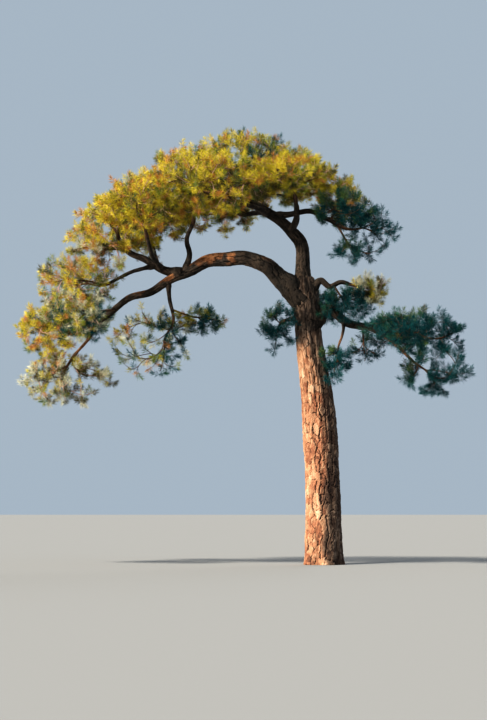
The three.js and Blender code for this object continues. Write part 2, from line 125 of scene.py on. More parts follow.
# Each mass of needles: its limb, the share of the limb's length at which its stem leaves, the middle
# and half-sizes of the ellipsoid that it fills, its light, the share of it that is open to the sky, and
# the share of its sprays that is left. Light is about 0 where the photograph shows dark blue-green
# needles, and 1 or more where it shows golden ones.
MASSES = {
    "top_centre": ("leader_top", 1, (-1.88, 0, 9.24), (1.15, 1.15, 0.8), 0.72, 0.3, 1),
    "top_right": ("right_top_riser", 1, (-0.64, 0.08, 9.04), (0.9, 1.05, 0.56), 1.55, 0.36, 1),
    "top_left": ("left_riser", 1, (-3.25, 0, 8.74), (1.12, 1.15, 0.85), 1.45, 0.3, 1),
    "front_top": ("front_top_limb", 1, (-2.56, -2.0, 8.56), (1.3, 1.1, 0.64), 1.15, 0.3, 1),
    "back_top": ("back_top_limb", 1, (-2.42, 2.05, 8.56), (1.3, 1.15, 0.64), 0.9, 0.3, 1),
    "front_right": ("front_right_limb", 1, (-0.8, -1.8, 8.7), (0.95, 1.0, 0.5), 1.6, 0.5, 1),
    "back_right": ("back_right_limb", 1, (-0.66, 1.85, 8.76), (0.95, 1.0, 0.5), 1.0, 0.5, 1),
    "front_left": ("front_left_limb", 1, (-4.18, -1.9, 8.06), (1.05, 1.0, 0.62), 1.5, 0.3, 1),
    "back_left": ("back_left_limb", 1, (-4.08, 1.95, 8.08), (1.05, 1.0, 0.62), 1.0, 0.3, 1),
    "left_shoulder": ("left_bough_upper", 1, (-4.64, 0, 8.09), (0.98, 1.2, 0.7), 1.5, 0.3, 1),
    "left_outer": ("left_bough_upper", 0.86, (-5.2, 0.12, 7.26), (0.78, 0.9, 0.43), 1.0, 0.58, 0.75),
    "left_middle": ("left_mid_limb", 1, (-5.66, -0.1, 6.46), (0.9, 1.0, 0.58), 0.92, 0.45, 0.85),
    "left_front": ("left_bough_outer", 0.66, (-5.6, -1.55, 5.64), (0.75, 0.8, 0.6), 0.7, 0.5, 1),
    "left_back": ("left_bough_outer", 0.7, (-5.56, 1.55, 5.7), (0.75, 0.8, 0.6), 0.6, 0.5, 1),
    "left_tip": ("left_bough_outer", 1, (-6.39, 0, 5.44), (0.6, 0.9, 0.68), 1.4, 0.4, 1),
    "left_low": ("left_low_limb", 1, (-6.02, -0.06, 4.33), (0.96, 0.9, 0.62), 0.8, 0.45, 0.85),
    "hanging_left": ("hanging_limb", 1, (-3.65, -0.05, 5.08), (0.76, 0.7, 0.72), 0.44, 0.4, 0.66),
    "hanging_right": ("hanging_limb", 0.82, (-2.72, 0.04, 5.6), (0.56, 0.46, 0.3), 0.5, 0.5, 1),
    "right_shoulder": ("right_top_limb", 0.8, (0.4, 0, 8.36), (0.62, 0.9, 0.44), 0.85, 0.48, 1),
    "right_upper_tip": ("right_top_limb", 1, (1.27, 0, 7.76), (0.7, 0.8, 0.52), -0.1, 0.78, 1),
    "right_upper_front": ("right_top_limb", 0.62, (0.42, -1.3, 8.05), (0.65, 0.65, 0.44), 0.15, 0.72, 1),
    "right_upper_back": ("right_top_limb", 0.7, (0.47, 1.3, 8.1), (0.65, 0.65, 0.44), 0.15, 0.72, 1),
    "right_upper_low": ("right_top_limb", 0.9, (0.73, -0.12, 7.14), (0.6, 0.65, 0.36), -0.1, 0.65, 0.75),
    "right_small": ("right_knob_limb", 1, (1.08, -0.05, 6.27), (0.46, 0.56, 0.38), 0.95, 0.4, 1),
    "right_inner": ("right_knob_limb", 0.66, (0.5, -0.44, 6.01), (0.52, 0.44, 0.37), 0.02, 0.3, 1),
    "right_main": ("right_bough_outer", 1, (2.44, 0, 5.37), (0.95, 0.85, 0.54), 0.05, 0.42, 1),
    "right_low": ("right_low_limb", 1, (2.59, 0.04, 4.32), (0.82, 0.7, 0.47), -0.08, 0.52, 1),
    "right_front": ("right_bough_outer", 0.62, (1.9, -1.35, 5.32), (0.6, 0.6, 0.4), -0.1, 0.5, 1),
    "right_back": ("right_bough_outer", 0.7, (1.95, 1.35, 5.34), (0.6, 0.6, 0.4), 0, 0.5, 1),
    "right_hanging": ("right_bough_outer", 0.3, (0.96, 0.06, 4.86), (0.56, 0.56, 0.48), -0.08, 0.8, 0.4),
    "trunk_right": ("right_hanging_twig", 1, (0.3, -0.45, 4.57), (0.35, 0.34, 0.48), -0.08, 0.5, 0.8),
    "trunk_left": ("left_trunk_limb", 1, (-1.1, -0.08, 5.33), (0.5, 0.56, 0.68), 0, 0.68, 1),
    "trunk_back": ("trunk_back_limb", 1, (-0.12, 1.6, 5.98), (0.6, 0.62, 0.48), 0, 0.3, 1),
}

# Where the photograph's foliage runs on past a mass into the next, its fine twigs spread over an
# ellipsoid moved by the first three numbers and larger by the last three.
SPREAD = {
    "right_low": ((0.0, 0, 0.14), (1.02, 1, 1.35)),
    "right_main": ((-0.12, 0, -0.1), (1, 1, 1.12)),
    "left_outer": ((0.4, 0, -0.1), (1.4, 1, 1.25)),
    "left_low": ((0.18, 0, -0.09), (1.02, 1, 1.08)),
    "front_top": ((0, 0.25, 0.0), (1, 1.15, 1.22)),
    "back_top": ((0, -0.25, 0.0), (1, 1.15, 1.22)),
    "front_left": ((0.05, 0.25, 0.05), (1, 1.15, 1.05)),
    "back_left": ((0.05, -0.25, 0.05), (1, 1.15, 1.05)),
    "front_right": ((0, 0.2, 0.12), (1, 1.1, 0.85)),
    "back_right": ((0, -0.2, 0.12), (1, 1.1, 0.85)),
    "hanging_left": ((-0.26, 0, 0), (1.3, 1, 1.05)),
    "right_inner": ((0, 0, -0.06), (1.15, 1, 1.15)),
    "left_middle": ((0.02, 0, 0.02), (1.16, 1, 1.08)),
    "trunk_left": ((0.1, 0, -0.06), (1.05, 1, 1.1)),
    "hanging_right": ((-0.24, 0, 0), (1.4, 1.1, 1)),
    "left_shoulder": ((-0.16, 0, -0.2), (1.16, 1, 1.14)),
    "right_front": ((-0.35, 0.15, 0.05), (1.2, 1.15, 1)),
    "right_back": ((-0.3, -0.15, 0.05), (1.15, 1.15, 1)),
    "right_upper_low": ((0.1, 0, 0.1), (1.05, 1, 0.95)),
    "right_hanging": ((-0.15, 0, -0.16), (1.05, 1, 1)),
    "right_shoulder": ((0.05, 0, 0.06), (1.08, 1, 1.1)),
    "left_tip": ((0.03, 0, -0.12), (1.05, 1, 1.1)),
    "top_left": ((-0.06, 0, 0.06), (1.05, 1, 1.08)),
    "top_centre": ((0.07, 0, 0.04), (1.04, 1, 1.06)),
}

# The crown's upper edge as seen from the front: fine twigs end below it.
CROWN_EDGE = [
    (-7.2, 5.5), (-6.9, 6.15), (-6.35, 6.95), (-6.0, 7.6), (-5.7, 7.9), (-5.1, 8.45), (-4.4, 8.92),
    (-3.5, 9.64), (-2.6, 9.87), (-1.75, 10.13), (-1.2, 10.03), (-0.8, 9.82), (0.1, 9.3), (0.5, 8.98),
    (1.0, 8.46), (1.4, 8.1), (2.0, 7.7), (3.6, 7.0),
]
EDGE_ROOM = 0.16  # from the end of a fine twig to the tips of its needles

# The wood's mesh
CURVE_STEPS = 60  # from each point of a line to the next
TRUNK_RINGS, TRUNK_SPOKES = 400, 200
TRUNK_SWELL = 0.02  # of the radius
LIMB_STEP = 0.017  # between vertices
LIMB_STEP_SHARE = 0.075  # of the radius at the base, on thick limbs
LIMB_SPOKES = (14, 90)  # the fewest and the most
LIMB_WANDER = 0.22  # of the radius, as are the lumps and the collar where a limb leaves
LIMB_LUMPS = 0.08
COLLAR = 0.45
COLLAR_REACH = 1.3  # in radii at the base
# Limbs that are made as one mesh with those that go on from them
LONG_LIMBS = {
    "leader": ["leader_top"],
    "left_bough": ["left_bough_middle", "left_bough_outer"],
    "right_bough": ["right_bough_outer"],
}

# Bark: a plate's width and length, and the depth of the fissures. On a limb each grows with the
# radius at its base, from a least size for the plates and up to a greatest depth for the fissures.
TRUNK_BARK = (0.105, 0.25, 0.03)
LIMB_PLATE_WIDTH = (0.36, 0.015)
LIMB_PLATE_LENGTH = (0.95, 0.03)
LIMB_FISSURES = (0.13, 0.022)
SHALLOW_SHARE = 0.42  # of the edges between plates
PLATE_SHIFTS = (0.75, 0.8)  # how far a plate's middle may lie off its place in the grid
NARROWER_ACROSS = 0.9  # how much narrower cracks across are than fissures along

# Where bark changes. Heights are on the trunk, and distances are along the long left bough.
YOUNG_BARK_AND_SHADE_FROM_TO = (4.9, 5.45)  # the heights over which dark young bark takes over; it also paints the shade that the crown casts on the trunk's top
PAINTED_SHADE_SIDE = 0.85  # painted shade: how dark the bark is painted on the side away from the sun
PAINTED_SHADE_SIDE_FROM_TO = (0.0, 0.42)
PALER = 0.22  # how much paler the bark is below the fork
PALE_FROM_TO = (3.7, 4.5)
PALE_ENDS = (5.0, 5.4)
BOUGH_PAINTED_SHADE = 0.58  # painted shade: how much darker the bough's bark is painted near the trunk, under the crown
BOUGH_PAINTED_SHADE_TO = (0.9, 1.5)
ORANGE_AND_HIGHLIGHT_FROM_TO = (1.0, 1.7)  # where thin orange bark sets in, in patches that lean to the bough's upper side, where they are also a painted highlight
ORANGE_AND_HIGHLIGHT_FADE = 2.4  # before the bough's tip

# The part's rule for its own sprays: how many there are to a square metre of a mass's surface, how
# far each reaches, how far it stays from the rim, and how many places are tried for each
PART_SEED = 4100
PART_SPRAYS_PER_M2 = 0.84
PART_REACH, PART_REACH_SHARE = 0.43, 0.72
PART_RIM_SHARE = 0.85
PART_TRIES = 14
PART_INNER = 0.35  # the share of the volume, in the middle, that has none
LIMB_PLACES = 200  # at even distances along a limb, where stems may leave
STEM_SHARE = 0.6  # of the way from the limb to the middle of the mass
STEM_JOINTS_AT = (0.45, 0.62, 0.8, 0.97)
JOINTS_AT = (0.3, 0.5, 0.68)
TURN_COST = 0.6  # how far a twig goes round rather than turn sharply

# The fine twigs' ends, in the same terms
FINE_PER_M2 = 6.3
FINE_TRIES = 50
FINE_RIM = 0.06
FINE_INNER = 0.3
BULGE = 0.12  # how far a mass bulges out of its ellipsoid, as a share of its size
GAP_SIZE = 0.38
GAPS_LOW = 0.26  # how much sooner a mass opens low down than high up
USUAL_GAPS = 0.3  # the open share at which the number to a square metre holds
MOST_TWIGS = 5000  # more than any mass has
TWIG_SAG = (0.06, 0.1)  # of a main and of a fine twig, as a share of its length
TWIG_CROOKED = 0.08
TWIG_TIP = 0.0042  # the radius of a twig with one spray
TWIG_POWER = 0.4  # how the radius grows with the number of sprays
MAIN_RINGS_SIDES = (9, 7)
FINE_RINGS_SIDES = (4, 3)
LAST_RINGS_SIDES = (2, 3)

# Sprays: the short last twigs that carry them, and their needles
SPRAYS_EACH = 6
SPRAY_STRETCH = 0.62  # the share of a twig, from its tip, that carries sprays
SPRAY_TWIG = 0.15
SPRAY_FAN = (0.25, 0.95)  # how far the foremost and the others turn aside
SPRAY_AHEAD, SPRAY_LIFT, SPRAY_OUT = 0.75, 0.35, 0.25
NEEDLES = 36  # in a spray
NEEDLE_LENGTH = 0.125
NEEDLE_WIDTH = 0.0075
NEEDLE_TURN = 2.39996  # the golden angle, in radians
NEEDLE_LEAN = (10, 68, 11)  # degrees: of the foremost, how much more the hindmost has, and the spread
SPRAY_DEPTH = 0.13  # from the foremost needle's root to the hindmost's
MOST_TRIANGLES = 190000  # in one piece

# Tints from shade to sun, the scores between them, and then tints for old brown sprays, for dull grey ones
# low on the left and on the small right mass, where they also paint light into its shade, and for the shade
# inside the golden crown.
TINT_STEPS = (0.12, 0.36, 0.6, 0.86, 1.12)
TINTS = [
    ("needles_teal", "shaded_needles", (0.006, 0.075, 0.085), 0.55),
    ("needles_dark", "shaded_needles", (0.02, 0.09, 0.065), 0.55),
    ("needles_green", "shaded_needles", (0.1, 0.16, 0.06), 0.55),
    ("needles_olive", "sunlit_needles", (0.22, 0.25, 0.04), 0.55),
    ("needles_yellow", "sunlit_needles", (0.36, 0.32, 0.035), 0.55),
    ("needles_gold", "sunlit_needles", (0.52, 0.445, 0.055), 0.55),
    ("needles_ochre", "sunlit_needles", (0.42, 0.21, 0.055), 0.6),
    ("needles_grey", "sunlit_needles", (0.48, 0.49, 0.38), 0.6),
    ("needles_umber", "shaded_needles", (0.09, 0.085, 0.03), 0.6),
]
DARK, GREEN, OCHRE, GREY, UMBER = 1, 2, 6, 7, 8  # the numbers of these tints
# A spray's score is its mass's light, more on the side that faces the sun and less inside, with
# soft patches and chance, which both grow with the light: a share for none and what light adds.
SUN_FROM = (-0.75, -0.25, 0.6)
SUN_SIDE = 0.38
PATCHES = (0.2, 0.3)
CHANCE = (0.16, 0.46)
TWIG_CHANCE = 0.75  # how far the sprays of one twig go together
INSIDE = 0.45
INNER_SHADE = (0.6, 1.0)
SUNLIT_ABOVE = 0.75  # masses with more light than this have no blue-green sprays
SHADED_BELOW = 0.3  # masses with less light than this have no golden ones
# Some sprays are brown or dull grey, where a noise of their own is above a limit
BROWN_ABOVE = 0.44
BROWN_SCORES = {"sunlit": 0.6, "shaded": 0.3}
GREY_SCORE = 0.1
GREY_ABOVE = {
    "left_outer": 0.1, "left_low": -0.02, "left_front": 0.2, "left_back": 0.2, "hanging_left": 0.4,
    # painted light: grey sprays lighten the small right mass, which lies in shade, as well as giving it its
    # grey twigs
    "right_small": -0.3,
}
NEVER = 9.0  # a limit that no noise comes near

# Bark's colours by its tone, from 0 to 1, in its fissures, and on thin twigs
TRUNK_TONES = [
    (0.12, (0.09, 0.042, 0.026)),
    (0.32, (0.29, 0.13, 0.075)),
    (0.58, (0.41, 0.245, 0.155)),
    (0.85, (0.56, 0.38, 0.27)),
    (1.0, (0.72, 0.57, 0.45)),
]
# the trunk's dark young bark above the fork, which also paints the crown's shade there, and the painted
# shade on its side away from the sun
YOUNG_BARK_AND_SHADED_SIDE_TONES = [(0.2, (0.024, 0.018, 0.015)), (0.5, (0.062, 0.046, 0.037)), (0.85, (0.24, 0.18, 0.14))]
# the limbs' dark bark: partly their own colour and partly painted shade of the crown above them
BOUGH_AND_PAINTED_SHADE_TONES = [(0.15, (0.006, 0.0055, 0.005)), (0.5, (0.046, 0.036, 0.029)), (0.85, (0.12, 0.09, 0.068))]
# orange bark, which on the left bough's upper side is also a painted highlight
ORANGE_BARK_AND_HIGHLIGHT_TONES = [(0.15, (0.07, 0.032, 0.018)), (0.5, (0.28, 0.13, 0.058)), (0.85, (0.52, 0.28, 0.14))]
TRUNK_FISSURE = (0.035, 0.018, 0.012)
BOUGH_FISSURE = (0.003, 0.0025, 0.002)
SUNLIT_TWIG = (0.46, 0.31, 0.26)
SHADED_TWIG = (0.09, 0.068, 0.058)
FIBRES_PER_M = {"trunk": 26, "bough": 40}

# Stage: the photograph looks level at the tree, and the sun stands low on the left
FRAME_WIDTH_PX, FRAME_HEIGHT_PX = 487, 720
SEEN_WIDTH = 11.2
SEEN_MIDDLE = (-1.82, 4.7)
CAMERA_DISTANCE = 60
CAMERA_HEIGHT = 1.6
CAMERA_SENSOR_MM = 36
SEEN_AS_FAR_AS = 400
FLOOR_SIZE = 300
FLOOR_MIDDLE = (-1.8, 0, 0)
FLOOR_GREY = 0.27
# Each lamp: where its light comes from, its strength, colour and width in degrees
LAMPS = {
    "low_key": ((-0.9, -0.37, 0.06), 4.6, (1.0, 0.84, 0.66), 4),
    "high_key": ((-0.38, -0.47, 0.8), 4.1, (1.0, 0.93, 0.8), 8),
    "back_fill": ((0.4, 0.85, 0.35), 1.3, (0.9, 0.95, 1.0), 40),
}
WORLD_COLOUR = (0.7, 0.82, 0.94)
WORLD_LIGHT = 0.46

# Seeds: the draws for twigs and needles take the first, and each noise has its own
SEED = 21
SPRAY_SEED = 1021
SWELL_SEED = 5
TWIG_TONE_SEED = 60
TRUNK_SEED = 100
PAINTED_SHADE_SIDE_SEED = 180
WANDER_SEED = 300
LUMP_SEED = 400
LIMB_SEED = 560
ORANGE_AND_HIGHLIGHT_SEED = 572
BULGE_SEED = 700
GAP_SEED = 800
PATCH_SEED = 900
BROWN_SEED = 950
GREY_SEED = 970

UP = np.array([0.0, 0.0, 1.0])
FAR_OFF = 9.0  # farther than any two places that are compared


# Numbers and small geometry

def unit(v):
    return v / np.maximum(np.linalg.norm(v, axis=-1, keepdims=True), 1e-9)


def hashed(cells, seed):
    """A repeatable number from 0 to 1 for each row of whole numbers."""
    mixed = np.full(cells.shape[:-1], seed * 2654435761 % 2**32, dtype=np.uint64)
    for k in range(cells.shape[-1]):
        number = (cells[..., k].astype(np.int64) & 0xFFFFFFFF).astype(np.uint64)
        mixed = (mixed ^ number) * np.uint64(0x9E3779B1)
        mixed &= np.uint64(0xFFFFFFFF)
        mixed ^= mixed >> np.uint64(15)
    mixed = (mixed * np.uint64(0x85EBCA6B)) & np.uint64(0xFFFFFFFF)
    mixed ^= mixed >> np.uint64(13)
    return mixed.astype(float) / 2**32


def noise(points, size, seed):
    """Smooth noise from -1 to 1 with bumps of a given size."""
    p = np.asarray(points, dtype=float) / size
    cell = np.floor(p)
    f = p - cell
    f = f * f * (3 - 2 * f)
    total = np.zeros(p.shape[:-1])
    for corner in np.ndindex(*(2,) * p.shape[-1]):
        weight = np.prod(np.where(corner, f, 1 - f), axis=-1)
        total += weight * hashed(cell + corner, seed)
    return 2 * total - 1


def layered_noise(points, size, seed):
    """Noise with two finer and weaker noises on it, each half the size and strength of the last."""
    return sum(noise(points, size / 2**k, seed + k) / 2**k for k in range(3)) / 1.75


def smooth_step(low, high, x):
    t = np.clip((x - low) / (high - low), 0, 1)
    return t * t * (3 - 2 * t)


def smooth_line(points):
    """The centripetal spline that the part draws through its points, as a fine line."""
    p = np.array(points, dtype=float)
    p = np.vstack([2 * p[0] - p[1], p, 2 * p[-1] - p[-2]])
    t = np.linspace(0, 1, CURVE_STEPS, endpoint=False)[:, None]
    line = []
    for a, b, c, d in zip(p, p[1:], p[2:], p[3:]):
        s0, s1, s2 = (math.sqrt(np.linalg.norm(v)) for v in (b - a, c - b, d - c))
        start = ((b - a) / s0 - (c - a) / (s0 + s1) + (c - b) / s1) * s1
        end = ((c - b) / s1 - (d - b) / (s1 + s2) + (d - c) / s2) * s1
        bend, turn = 3 * (c - b) - 2 * start - end, 2 * (b - c) + start + end
        line.append(b + start * t + bend * t**2 + turn * t**3)
    return np.vstack(line + [p[-2:-1]])


def lengths_along(line):
    """The distance from a line's start to each of its points."""
    return np.concatenate([[0], np.cumsum(np.linalg.norm(np.diff(line[:, :3], axis=0), axis=1))])


def evenly(line, count):
    """count points along a line at even distances, and their distances."""
    along = lengths_along(line)
    at = np.linspace(0, along[-1], count)
    return np.stack([np.interp(at, along, column) for column in line.T], axis=1), at


def turned(angle, across, beside):
    """Directions at these angles round a line, from across towards beside."""
    return np.cos(angle)[..., None] * across + np.sin(angle)[..., None] * beside


def round_and_along(angle, height):
    """Points on a circle, drawn out along Z, where a noise is read that closes round a limb."""
    return np.stack(np.broadcast_arrays(np.cos(angle), np.sin(angle), height[:, None]), axis=-1)


def frames_along(line):
    """Two directions across a line at each point, turning as little as they can."""
    tangents = unit(np.gradient(line, axis=0))
    first = np.cross(tangents[0], [0.0, 1.0, 0.0])
    if np.linalg.norm(first) < 0.2:
        first = np.cross(tangents[0], [1.0, 0.0, 0.0])
    across = [unit(first)]
    for tangent in tangents[1:]:
        across.append(unit(across[-1] - tangent * np.dot(across[-1], tangent)))
    across = np.array(across)
    return across, np.cross(tangents, across)


TRUNK_LINE = smooth_line([at for at, _ in TRUNK])
TRUNK_RADII = smooth_line([(radius, 0, 0) for _, radius in TRUNK])[:, 0]
LINES = {name: smooth_line(limb[3]) for name, limb in LIMBS.items()}


def trunk_middle(z):
    """The trunk's middle at some heights, seen from above."""
    return np.stack([np.interp(z, TRUNK_LINE[:, 2], TRUNK_LINE[:, k]) for k in range(2)], axis=1)


# Meshes

def mesh_piece(name, vertices, faces, material, slot, replaced, values=None, smooth=True):
    """A piece of the tree from arrays, in place of the nodes that it replaces.

    values maps an attribute's name to one number for each vertex."""
    mesh = bpy.data.meshes.new(name)
    corners = faces.shape[1]
    mesh.vertices.add(len(vertices))
    mesh.vertices.foreach_set("co", vertices.astype(np.float32).ravel())
    mesh.loops.add(faces.size)
    mesh.loops.foreach_set("vertex_index", faces.astype(np.int32).ravel())
    mesh.polygons.add(len(faces))
    mesh.polygons.foreach_set("loop_start", np.arange(0, faces.size, corners, dtype=np.int32))
    mesh.polygons.foreach_set("use_smooth", np.full(len(faces), smooth))
    mesh.update(calc_edges=True)
    for key, numbers in (values or {}).items():
        attribute = mesh.attributes.new(key, "FLOAT", "POINT")
        attribute.data.foreach_set("value", numbers.astype(np.float32))
    mesh.materials.append(material)
    piece = bpy.data.objects.new(name, mesh)
    bpy.context.scene.collection.objects.link(piece)
    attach(piece, "root")
    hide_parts(*replaced)


def ring_faces(rings, around):
    """Triangles between rings of vertices, facing out."""
    ring, spoke = np.meshgrid(np.arange(rings - 1), np.arange(around), indexing="ij")
    here = ring * around + spoke
    beside = ring * around + (spoke + 1) % around
    lower = np.stack([here, beside, beside + around], axis=-1)
    upper = np.stack([here, beside + around, here + around], axis=-1)
    return np.concatenate([lower, upper], axis=2).reshape(-1, 3)


def end_fans(rings, around):
    """Triangles that close both ends of a tube on a last vertex at each end."""
    spoke = np.arange(around)
    beside = (spoke + 1) % around
    first, last = rings * around, rings * around + 1
    top = (rings - 1) * around
    below = np.stack([beside, spoke, np.full(around, first)], axis=-1)
    above = np.stack([top + spoke, top + beside, np.full(around, last)], axis=-1)
    return np.vstack([below, above])


# Bark: plates that stand out between fissures

def plate_cells(turns, along, count, width, length, seed):
    """The distances in metres to the plate's edge and to its nearest deep edge, and the plate's number.

    turns runs from 0 to 1 round the limb, and count is how many plates go round it. Each column of
    plates is shifted along by its own amount, so that the cracks across don't line up. Only some
    edges are deep, so that deep fissures run round groups of plates. Cracks across are narrower."""
    u, v = turns * count, along / length
    column = np.floor(u)
    near = []
    for du in (-1, 0, 1):
        beside = (column + du) % count
        shift = hashed(np.stack([beside, 0 * beside], axis=-1), seed + 3)
        row = np.floor(v + shift)
        for dv in (-1, 0, 1):
            cell = np.stack([beside, row + dv], axis=-1)
            middle_u = column + du + 0.5 + PLATE_SHIFTS[0] * (hashed(cell, seed) - 0.5)
            middle_v = row + dv + 0.5 + PLATE_SHIFTS[1] * (hashed(cell, seed + 1) - 0.5) - shift
            near.append((middle_u, middle_v, hashed(cell, seed + 2)))
    middles_u, middles_v, numbers = (np.array(part) for part in zip(*near))
    far = (u - middles_u) ** 2 + (v - middles_v) ** 2
    nearest = far.argmin(axis=0)[None]
    own_u, own_v, own = (np.take_along_axis(g, nearest, axis=0) for g in (middles_u, middles_v, numbers))
    steep_u, steep_v = np.abs(own_u - middles_u) / width, np.abs(own_v - middles_v) / length
    steepness = np.maximum(np.hypot(steep_u, steep_v), 1e-9)
    edges = (far - far.min(axis=0)) / 2 / steepness
    edges *= 1 + NARROWER_ACROSS * steep_v / steepness
    edges[steepness < 1e-6] = FAR_OFF
    shallow = ((own + numbers) * 7.31) % 1 < SHALLOW_SHARE
    return edges.min(axis=0), np.where(shallow, FAR_OFF, edges).min(axis=0), own[0]


def bark_relief(turns, along, radius, width, length, depth, seed):
    """How far the bark stands out at each point, with what the bark's material reads there.

    width and length are a plate's, and depth is the depth of the fissures between plates.
    Noises bend the grid of plates and widen the fissures here and there. Each plate has a height
    and a tone of its own and carries smaller flakes, and a fine grain runs over it all."""
    angle = 2 * np.pi * turns
    around = np.stack([np.cos(angle) * radius, np.sin(angle) * radius, along], axis=-1)
    count = max(3, round(2 * np.pi * float(np.mean(radius)) / width))
    wander = layered_noise(around * [1, 1, 0.6], 1.4 * width, seed + 10)
    lean = layered_noise(around, 1.1 * width, seed + 20)
    jags = noise(around, 0.32 * width, seed + 25)
    bent_turns = turns + (0.5 * wander + 0.12 * jags) / count
    bent_along = along + (0.34 * lean + 0.08 * jags) * length
    edge, deep_edge, number = plate_cells(bent_turns, bent_along, count, width, length, seed)
    widening = 0.5 + 0.5 * noise(around, 2.2 * width, seed + 30)
    wide = width * (0.06 + 0.2 * widening**1.5)
    plate = smooth_step(0.3 * wide, 0.6 * wide + 0.1 * width, deep_edge)
    crack = smooth_step(0, 0.1 * width, edge)
    flakes = plate_cells(bent_turns, bent_along, 2 * count, width / 2, 0.3 * length, seed + 40)
    flake_edge, _, flake_number = flakes
    flake = smooth_step(0, 0.09 * width, flake_edge) * (0.5 + 0.5 * crack)
    grain = layered_noise(around * [1, 1, 0.35], 0.25 * width, seed + 50)
    blotch = layered_noise(around, 3.2 * width, seed + 60)
    height = depth * (plate - 1) + depth * plate * (0.3 * (flake_number - 0.5) + 0.35 * (crack - 1))
    height += 0.12 * depth * (flake - 1) * plate + 0.2 * depth * grain
    tone = 0.5 + 0.42 * (number - 0.5) + 0.4 * (flake_number - 0.5) + 0.3 * blotch + 0.12 * grain
    tone -= 0.35 * (number > 0.9)  # a tenth of the plates are old and dark
    return height, {"plate": plate, "tone": np.clip(tone, 0, 1), "flake": flake}


class Wood:
    """A closed tube of bark: rings of radius[ring, spoke] round a line.

    bark is a plate's width and length and the depth of the fissures. across and beside are the
    directions from which angles round the line are measured. For each vertex out is the direction
    away from the line, along is how far it is along it, and values is what the material reads.
    The last two vertices close the ends."""

    def __init__(self, line, radius, bark, seed, across, beside):
        rings, around = radius.shape
        along = lengths_along(line)
        turns, distance = np.meshgrid(np.arange(around) / around, along)
        height, values = bark_relief(turns, distance, radius, *bark, seed)
        out = turned(2 * np.pi * turns, across[:, None], beside[:, None])
        relief = height * np.minimum(1, radius / (3 * bark[2]))
        places = line[:, None, :] + (radius + relief)[..., None] * out
        self.vertices = np.vstack([places.reshape(-1, 3), line[:1], line[-1:]])
        self.faces = np.vstack([ring_faces(rings, around), end_fans(rings, around)])
        self.out = np.vstack([out.reshape(-1, 3), np.zeros((2, 3))])
        self.along = np.concatenate([np.repeat(along, around), along[[0, -1]]])
        self.values = {key: np.append(numbers.ravel(), [1, 1]) for key, numbers in values.items()}
        # dark young bark above the fork, partly real and partly painted shade of the crown on the trunk's
        # top
        self.values["dark_bark_and_painted_shade"] = smooth_step(*YOUNG_BARK_AND_SHADE_FROM_TO, self.vertices[:, 2])

    def shade_trunk(self):
        """Paints shade on the side away from the sun as darker bark, and pales the bark below the fork."""
        # painted shade: darker bark on the side away from the sun
        patches = layered_noise(self.vertices * [1, 1, 0.6], 0.3, PAINTED_SHADE_SIDE_SEED)
        away = self.out[:, 0] - 0.12 * self.out[:, 1] + 0.5 * patches
        self.values["dark_bark_and_painted_shade"] = np.maximum(self.values["dark_bark_and_painted_shade"], PAINTED_SHADE_SIDE * smooth_step(*PAINTED_SHADE_SIDE_FROM_TO, away))
        height = self.vertices[:, 2]
        pale = smooth_step(*PALE_FROM_TO, height) * (1 - 0.3 * smooth_step(*PALE_ENDS, height))
        self.values["tone"] = np.clip(self.values["tone"] + PALER * pale, 0, 1)

    def shade_left_bough(self):
        """Shows orange bark in patches that lean to the bough's upper side, partly a painted highlight, and
        paints shade as darker bark near the trunk.
        """
        fade = smooth_step(0, ORANGE_AND_HIGHLIGHT_FADE, self.along[-1] - self.along)
        # painted highlight: the orange patches lean to the upper side, where the sun falls
        patches = 0.35 * self.out[:, 2] + 1.4 * layered_noise(self.vertices, 0.3, ORANGE_AND_HIGHLIGHT_SEED)
        orange_and_highlight = smooth_step(*ORANGE_AND_HIGHLIGHT_FROM_TO, self.along) * fade * smooth_step(0.1, 0.5, patches)
        self.values["dark_bark_and_painted_shade"] = 1 - orange_and_highlight
        # painted shade: darker bark near the trunk, under the crown
        self.values["tone"] *= 1 - BOUGH_PAINTED_SHADE * (1 - smooth_step(*BOUGH_PAINTED_SHADE_TO, self.along))

    def add(self, name, material, slot, replaced):
        mesh_piece(name, self.vertices, self.faces, material, slot, replaced, self.values)


def long_furrows(turns, z):
    """How far the part's long plates set the trunk's surface back, softened between its corners."""
    levels = np.arange(PART_LEVELS + 1)
    at = (levels / PART_LEVELS) ** LEVEL_CROWDING * (len(TRUNK_LINE) - 1)
    heights = np.interp(at, np.arange(len(TRUNK_LINE)), TRUNK_LINE[:, 2])
    level = np.interp(z, heights, levels)[:, None]
    side = turns[None, :] * PART_SIDES

    def depth(sides, rows):
        return FURROW_DEPTH * ((sides + rows // PLATE_LEVELS) % 2)

    low, left = np.floor(level), np.floor(side)
    up, right = smooth_step(0, 1, level - low), smooth_step(0, 1, side - left)
    below = depth(left, low) + right * (depth(left + 1, low) - depth(left, low))
    above = depth(left, low + 1) + right * (depth(left + 1, low + 1) - depth(left, low + 1))
    return below + up * (above - below)


